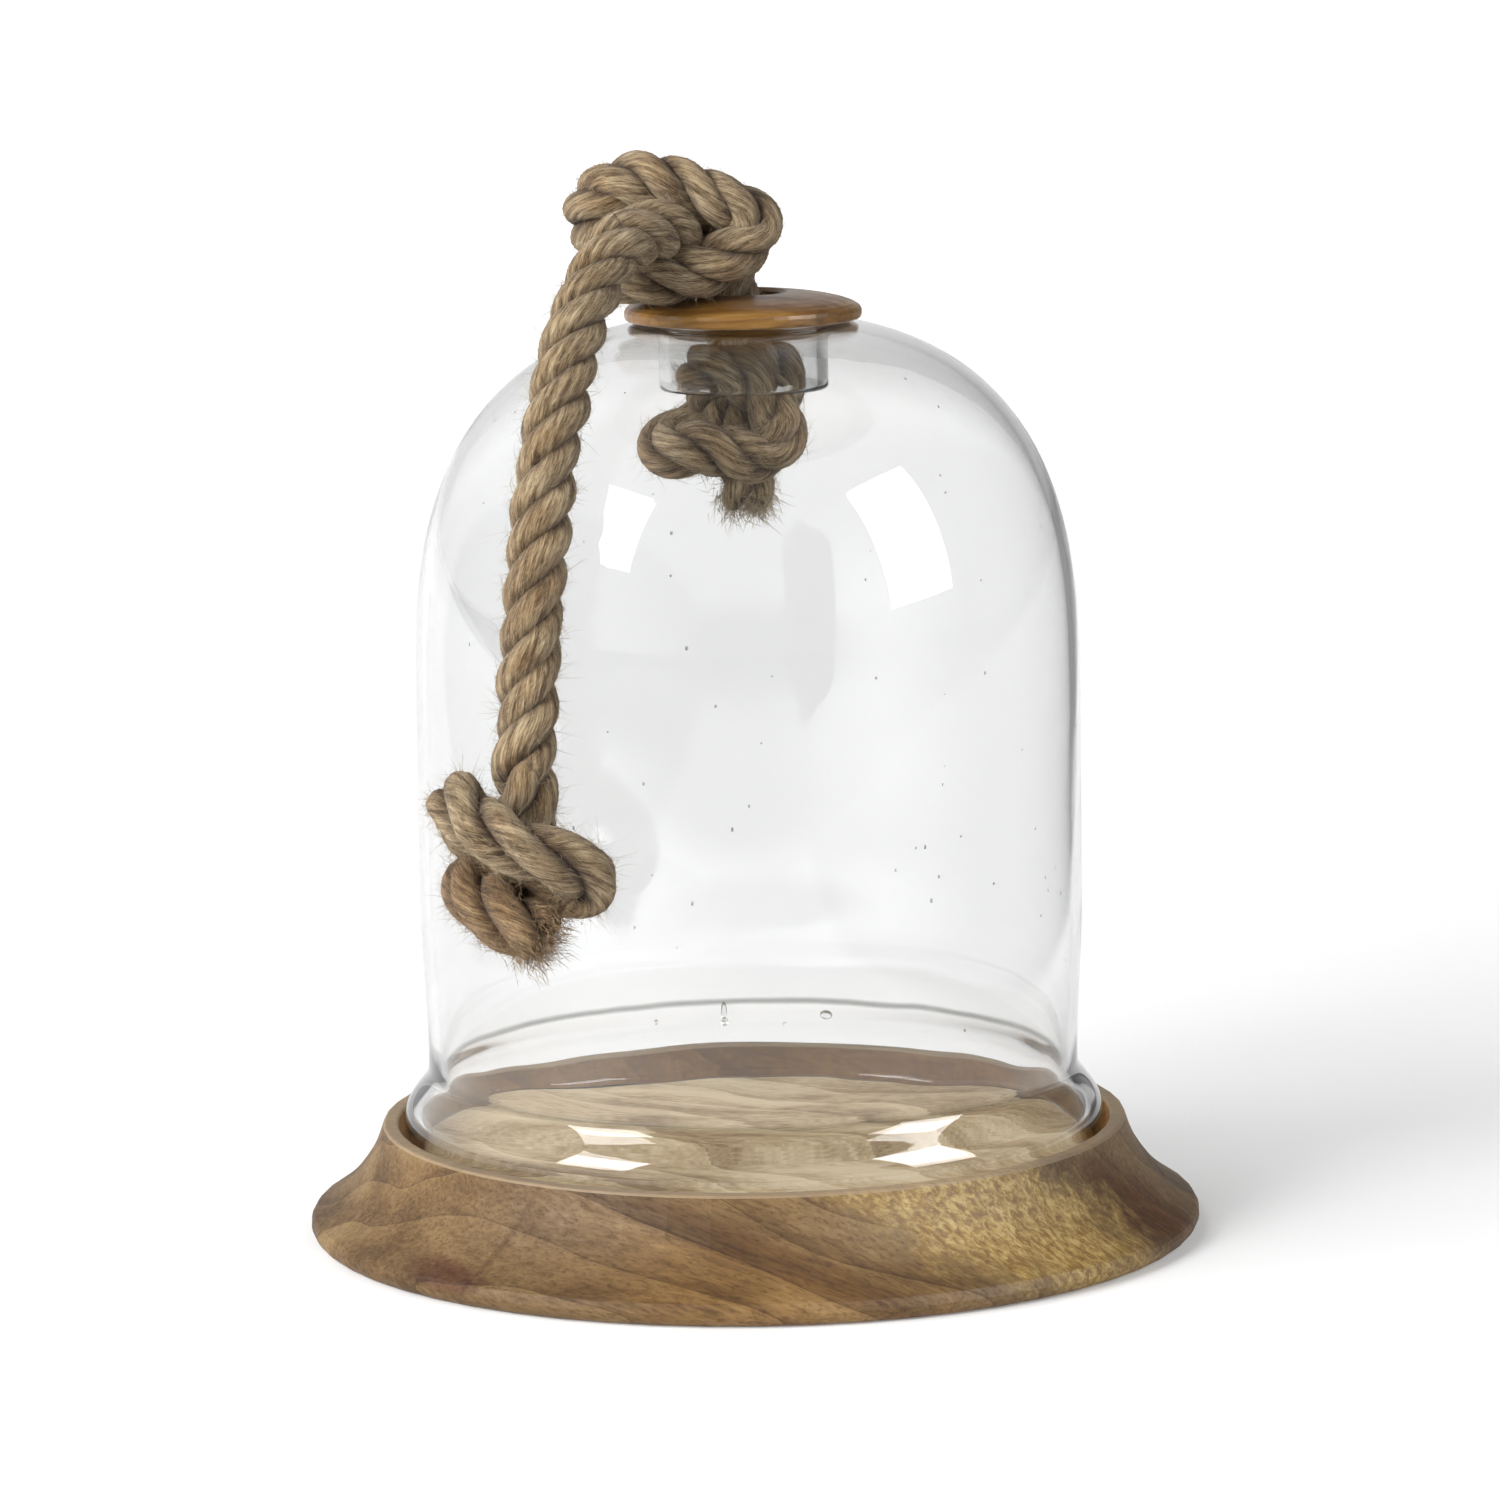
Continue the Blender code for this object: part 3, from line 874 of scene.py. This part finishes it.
def mango_material(name):
    """Figured mango wood with slanting grain, a yellow spalted patch and a pale rim."""
    made, tree, shader = node_tree(name)
    place = object_place(tree)
    grain = rotated(tree, place, (14.0, -22.0, 10.0))
    warp = noise_value(tree, grain, (5.0, 16.0, 16.0), 2.0, 0.5)
    across = axes(tree, grain)
    rings = weighted(tree, (across[2], 55.0), (warp, 3.2), (across[1], 14.0))
    band = math_node(tree, "FRACT", rings)
    figure = noise_value(tree, grain, (9.0, 26.0, 40.0), 4.0, 0.6, 0.6)
    fibres = noise_value(tree, grain, (60.0, 700.0, 700.0), 3.0, 0.65)
    pores = noise_value(tree, grain, (320.0, 1100.0, 1100.0), 2.0, 0.6)
    tone = weighted(tree, (figure, 0.58), (fibres, 0.29), (band, 0.10))
    wood = ramp(tree, tone, [
        (0.36, (0.068, 0.033, 0.009)),
        (0.44, (0.118, 0.065, 0.020)),
        (0.50, (0.160, 0.093, 0.033)),
        (0.60, (0.222, 0.143, 0.058)),
    ])
    line = ramp(tree, band, [(0.0, (0.50, 0.42, 0.35)), (0.05, WHITE), (1.0, (0.92, 0.90, 0.88))])
    wood = mix_colour(tree, 0.6, wood, line, "MULTIPLY")
    broad = noise_value(tree, grain, (8.0, 20.0, 26.0), 2.0, 0.5, 0.5)
    cloud = ramp(tree, broad, [(0.36, (0.60, 0.52, 0.42)), (0.50, WHITE)])
    wood = mix_colour(tree, 0.18, wood, cloud, "MULTIPLY")
    dots = ramp(tree, pores, [(0.36, (0.52, 0.44, 0.34)), (0.48, WHITE)])
    wood = mix_colour(tree, 0.65, wood, dots, "MULTIPLY")
    uneven = noise_value(tree, grain, (40.0, 90.0, 110.0), 5.0, 0.75, 0.6)
    uneven = math_node(tree, "MULTIPLY", math_node(tree, "SUBTRACT", uneven, 0.5), 2.2)
    for azimuth, radius, height, slope, size, ragged, hardness, tint in FLANK_MARKS:
        edge = uneven if ragged else 0.0
        inside = mark_area(tree, place, azimuth, radius, height, slope, size, edge, hardness)
        wood = mix_colour(tree, inside, wood, tint, "MULTIPLY")
    # yellow spalting on the right of the front
    spalted = mark_area(tree, place, *SPALTED_AREA, uneven, SPALTED_HARDNESS)
    freckle = noise_value(tree, grain, (200.0, 560.0, 560.0), 4.0, 0.75, 0.4)
    yellow = ramp(tree, freckle, [
        (0.38, (0.180, 0.098, 0.024)),
        (0.46, (0.250, 0.146, 0.036)),
        (0.54, (0.370, 0.246, 0.074)),
        (0.64, (0.480, 0.350, 0.135)),
    ])
    wood = mix_colour(tree, spalted, wood, yellow)
    # the recess wall is browner; the flat rim and the recess floor are paler
    height = axes(tree, place)[2]
    radius = distance(tree, scaled(tree, place, (1.0, 1.0, 0.0)))
    wall = math_node(tree, "LESS_THAN", radius, RECESS_WALL_RADIUS)
    wall = math_node(tree, "MULTIPLY", wall, math_node(tree, "LESS_THAN", height, RIM_FROM))
    wood = mix_colour(tree, wall, wood, (1.05, 0.80, 0.38), "MULTIPLY")
    floor = math_node(tree, "LESS_THAN", radius, RECESS_FLOOR_RADIUS)
    upper = math_node(tree, "GREATER_THAN", height, ABOVE_UNDERSIDE)
    floor = math_node(tree, "MULTIPLY", floor, upper)
    pale = ramp(tree, tone, [
        (0.37, (0.190, 0.121, 0.052)),
        (0.44, (0.335, 0.236, 0.120)),
        (0.51, (0.475, 0.362, 0.214)),
        (0.59, (0.610, 0.500, 0.325)),
    ])
    wood = mix_colour(tree, floor, wood, pale)
    rim = math_node(tree, "GREATER_THAN", height, RIM_FROM)
    rim = math_node(tree, "MULTIPLY", rim, 0.6)
    wood = mix_colour(tree, rim, wood, (0.31, 0.23, 0.145))
    tree.links.new(wood, shader.inputs["Base Color"])
    roughness = ramp(tree, fibres, [(0.3, 0.66), (0.7, 0.50)])
    tree.links.new(roughness, shader.inputs["Roughness"])
    shader.inputs["Specular IOR Level"].default_value = 0.4
    bump(tree, shader, fibres, 0.25, 0.0003)
    return made


def lid_material(name):
    """Amber wood with fine straight streaks under a semi-gloss finish."""
    made, tree, shader = node_tree(name)
    grain = rotated(tree, object_place(tree), (0.0, 4.0, 9.0))
    streak = noise_value(tree, grain, (18.0, 160.0, 420.0), 4.0, 0.65, 0.3)
    broad = noise_value(tree, grain, (9.0, 50.0, 120.0), 2.0, 0.5)
    colour = ramp(tree, weighted(tree, (streak, 0.6), (broad, 0.4)), [
        (0.34, (0.090, 0.036, 0.008)),
        (0.46, (0.170, 0.078, 0.017)),
        (0.58, (0.262, 0.132, 0.031)),
        (0.70, (0.370, 0.212, 0.062)),
    ])
    tree.links.new(colour, shader.inputs["Base Color"])
    roughness = ramp(tree, streak, [(0.3, 0.40), (0.7, 0.28)])
    tree.links.new(roughness, shader.inputs["Roughness"])
    bump(tree, shader, streak, 0.15, 0.0002)
    return made


# ------------------------------------------------------------ stage and light
SWEEP_SIZE = 80.0
SWEEP_MIDDLE = (0.0, 15.0, -0.0002)
SWEEP_WHITE = (0.80, 0.80, 0.80)
SWEEP_DARK = (0.10, 0.10, 0.10)
FLOOR_GLOW_NEAR = 0.18          # up to NEAR_REACH from the object
FLOOR_GLOW_FAR = 0.80           # and from FAR_REACH on
NEAR_REACH = 0.2
FAR_REACH = 3.5
# where the dimming begins in front, of half a point's distance less 0.75 of its y
FRONT_EDGE = 0.9
RIGHT_EDGE = 0.32               # and on the right, of its x less 0.11 of its y
EDGE_END = 1.3                  # it is full this many times farther out
RIGHT_MOST = 1.20               # but on the right it stays as it is this many times farther
POOL_PLACE = (-0.62, -0.48, 0.0)
POOL_REACH = 0.62
POOL_GLOW = 1.4
WORLD_BRIGHT = 0.85
WORLD_DARK = 0.13
WORLD_BRIGHT_UP_TO = -0.50      # of a direction's x - 0.5 y + 0.6 z
WORLD_DARK_FROM = 0.40
LIGHT_REACH = 4.0
LIT_PLACE = Vector((0.0, 0.0, 0.16))


def make_stage():
    """A white sweep that glows more with distance, so that it's even beyond the lights."""
    bpy.ops.mesh.primitive_plane_add(size=SWEEP_SIZE, location=SWEEP_MIDDLE)
    floor = bpy.context.object
    floor.name = "floor"
    made, tree, shader = node_tree("floor_white")
    shader.inputs["Roughness"].default_value = 0.9
    shader.inputs["Specular IOR Level"].default_value = 0.0
    shader.inputs["Emission Color"].default_value = (1.0, 1.0, 1.0, 1.0)
    place = add(tree, "ShaderNodeNewGeometry").outputs["Position"]
    away = distance(tree, place)
    glow = map_range(tree, away, NEAR_REACH, FAR_REACH, FLOOR_GLOW_NEAR, FLOOR_GLOW_FAR)
    # in reflections and bounced light, the sweep is dimmer in front and on the right
    across = axes(tree, place)
    front = weighted(tree, (across[1], -0.75), (away, 0.5))
    right = weighted(tree, (across[0], 1.0), (across[1], -0.11))
    right = math_node(tree, "MULTIPLY", right, FRONT_EDGE / RIGHT_EDGE)
    right = math_node(tree, "MINIMUM", right, FRONT_EDGE * RIGHT_MOST)
    edge = math_node(tree, "MAXIMUM", front, right)
    beyond = map_range(tree, edge, FRONT_EDGE, FRONT_EDGE * EDGE_END, kind="SMOOTHSTEP")
    rays = add(tree, "ShaderNodeLightPath").outputs
    turned = math_node(tree, "ADD", rays["Glossy Depth"], rays["Diffuse Depth"], clamp=True)
    dark = math_node(tree, "MULTIPLY", beyond, turned)
    glow = math_node(tree, "MULTIPLY", glow, math_node(tree, "SUBTRACT", 1.0, dark))
    # a soft bright pool on the sweep, that only shows in reflections
    apart = distance(tree, place, POOL_PLACE)
    pool = map_range(tree, apart, POOL_REACH, 0.0, 0.0, POOL_GLOW, kind="SMOOTHSTEP")
    gloss = math_node(tree, "SUBTRACT", rays["Glossy Depth"], rays["Diffuse Depth"], clamp=True)
    glow = math_node(tree, "ADD", glow, math_node(tree, "MULTIPLY", pool, gloss))
    white = mix_colour(tree, dark, SWEEP_WHITE, SWEEP_DARK)
    tree.links.new(white, shader.inputs["Base Color"])
    tree.links.new(glow, shader.inputs["Emission Strength"])
    floor.data.materials.append(made)


def softbox(name, azimuth, elevation, width, height, radiance, shines, roll=0.0):
    """A softbox. Azimuth is counted from the front, positive to the right; width and
    height are the angles that it covers, seen from the object. It either shines, which
    is to show in gloss and glass, or lights the matt surfaces."""
    data = bpy.data.lights.new(name, "AREA")
    data.shape = "RECTANGLE"
    data.size = 2.0 * LIGHT_REACH * math.tan(math.radians(width / 2))
    data.size_y = 2.0 * LIGHT_REACH * math.tan(math.radians(height / 2))
    data.energy = radiance * math.pi * data.size * data.size_y
    light = link_object(name, data)
    azimuth = math.radians(azimuth)
    elevation = math.radians(elevation)
    level = Vector((math.sin(azimuth), -math.cos(azimuth), 0.0)) * math.cos(elevation)
    away = level + Vector((0.0, 0.0, math.sin(elevation)))
    light.location = LIT_PLACE + away * LIGHT_REACH
    light.rotation_mode = "QUATERNION"
    facing = away.to_track_quat("Z", "Y")
    light.rotation_quaternion = Quaternion(away, math.radians(roll)) @ facing
    light.visible_camera = False
    light.visible_diffuse = not shines
    light.visible_glossy = shines
    light.visible_transmission = shines


def make_light():
    """A studio that is bright behind and on the left, and dark elsewhere and above."""
    world = bpy.data.worlds.new("studio")
    world.use_nodes = True
    tree = world.node_tree
    background = tree.nodes["Background"]
    background.inputs["Color"].default_value = (1.0, 1.0, 1.0, 1.0)
    way = axes(tree, add(tree, "ShaderNodeTexCoord").outputs["Generated"])
    side = weighted(tree, (way[0], 1.0), (way[1], -0.5), (way[2], 0.6))
    level = map_range(tree, side, WORLD_BRIGHT_UP_TO, WORLD_DARK_FROM, WORLD_BRIGHT, WORLD_DARK,
                      kind="SMOOTHSTEP")
    # seen directly, above the sweep's far edge, it is as white as the sweep
    seen = add(tree, "ShaderNodeLightPath").outputs["Is Camera Ray"]
    tree.links.new(math_node(tree, "MAXIMUM", level, seen), background.inputs["Strength"])
    bpy.context.scene.world = world
    softbox("shine_left", -56.0, 29.0, 25.0, 24.0, 12.0, shines=True)
    softbox("shine_right", 63.0, 25.0, 25.0, 36.0, 12.0, shines=True, roll=3.0)
    softbox("soft_left", -58.0, 31.0, 42.0, 34.0, 6.0, shines=False)
    softbox("key_left", -42.0, 19.0, 20.0, 14.0, 25.0, shines=False)
    softbox("fill_right", 60.0, 30.0, 56.0, 48.0, 1.7, shines=False)


# ------------------------------------------------------------------ the build
def end_knot_route():
    """The end knot's route, in metres, around the middle of its CAD solid."""
    low, high = (Vector(corner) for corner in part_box("end_knot"))
    middle = (low + high) / 2
    outward = Vector((middle.x, middle.y, 0.0)).normalized()
    rightward = Vector((-outward.y, outward.x, 0.0))
    up = Vector((0.0, 0.0, 1.0))
    return [middle + (rightward * x + outward * y + up * z) * MM for x, y, z in END_KNOT_ROUTE]


def build_rope():
    jute = jute_material("jute", WHITE)
    brown_jute = jute_material("jute_brown", (0.74, 0.64, 0.53))
    hair = fibre_material("jute_hair", (0.16, 0.11, 0.06), (0.52, 0.42, 0.28))
    brown_hair = fibre_material("jute_hair_brown", (0.10, 0.055, 0.025), (0.40, 0.27, 0.145))

    end_route = end_knot_route()
    rope = make_rope(INNER_KNOT_ROUTE + TOP_KNOT_ROUTE + TAIL_ROUTE + end_route, [
        (INNER_KNOT_ROUTE[0], 8.0 * MM, ROPE_LAY),
        (TOP_KNOT_ROUTE[0], 8.4 * MM, ROPE_LAY),
        (TAIL_ROUTE[0], 8.9 * MM, ROPE_LAY),
        (TAIL_ROUTE[-1], 9.1 * MM, ROPE_LAY),
        (end_route[6], 9.2 * MM, LOOSE_LAY),
        (end_route[14], 9.0 * MM, END_LAY),
        (end_route[-1], 9.4 * MM, END_LAY),
    ], seed=11)
    start, neck, tail_start, tail_end, _, brown, _ = rope["stops"]
    finish = len(rope["path"]) - 1
    knots = rope_piece("knotted_rope", rope, start, tail_start, jute)
    tail = rope_piece("hanging_rope", rope, tail_start, tail_end, jute)
    end = rope_piece("end_knot_rope", rope, tail_end, brown, jute)
    tip = rope_piece("end_knot_tip", rope, brown, finish, brown_jute)
    inner_hair = fibre_piece("inner_knot_hair", rope, start, neck, 5000, hair, 24, 8.0 * MM,
                             [(start, -1.0)])
    knots_hair = fibre_piece("top_knot_hair", rope, neck, tail_start, 4500, hair, 21, 7.0 * MM)
    tail_hair = fibre_piece("hanging_rope_hair", rope, tail_start, tail_end, 3200, hair, 22,
                            8.0 * MM)
    end_hair = fibre_piece("end_knot_hair", rope, tail_end, brown, 3600, hair, 23, 9.0 * MM)
    tip_hair = fibre_piece("end_knot_tip_hair", rope, brown, finish, 4000, brown_hair, 25,
                           7.0 * MM, [(finish, 1.0)])

    for piece in (knots, knots_hair, inner_hair):
        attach(piece, "rope")
    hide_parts("top_knot", "rope_shank", "inner_knot")
    for piece in (tail, tail_hair):
        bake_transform(piece)
    for piece in (end, tip, end_hair, tip_hair):
        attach(piece, "tail")
    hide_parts("rope_tail")
    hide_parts("end_knot")


def build_glass():
    look = glass_material("glass")
    dome = glass_piece(look)
    for piece in (dome, seed_piece(look), drip_piece(look)):
        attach(piece, "dome")
    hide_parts("glass_dome")


def build_wood():
    for node, look in (("base", mango_material("mango_wood")), ("lid", lid_material("lid_wood"))):
        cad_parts[node].data.materials.clear()
        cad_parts[node].data.materials.append(look)


bpy.context.scene.view_settings.view_transform = "Standard"
make_camera()
build_rope()
build_glass()
build_wood()
make_stage()
make_light()
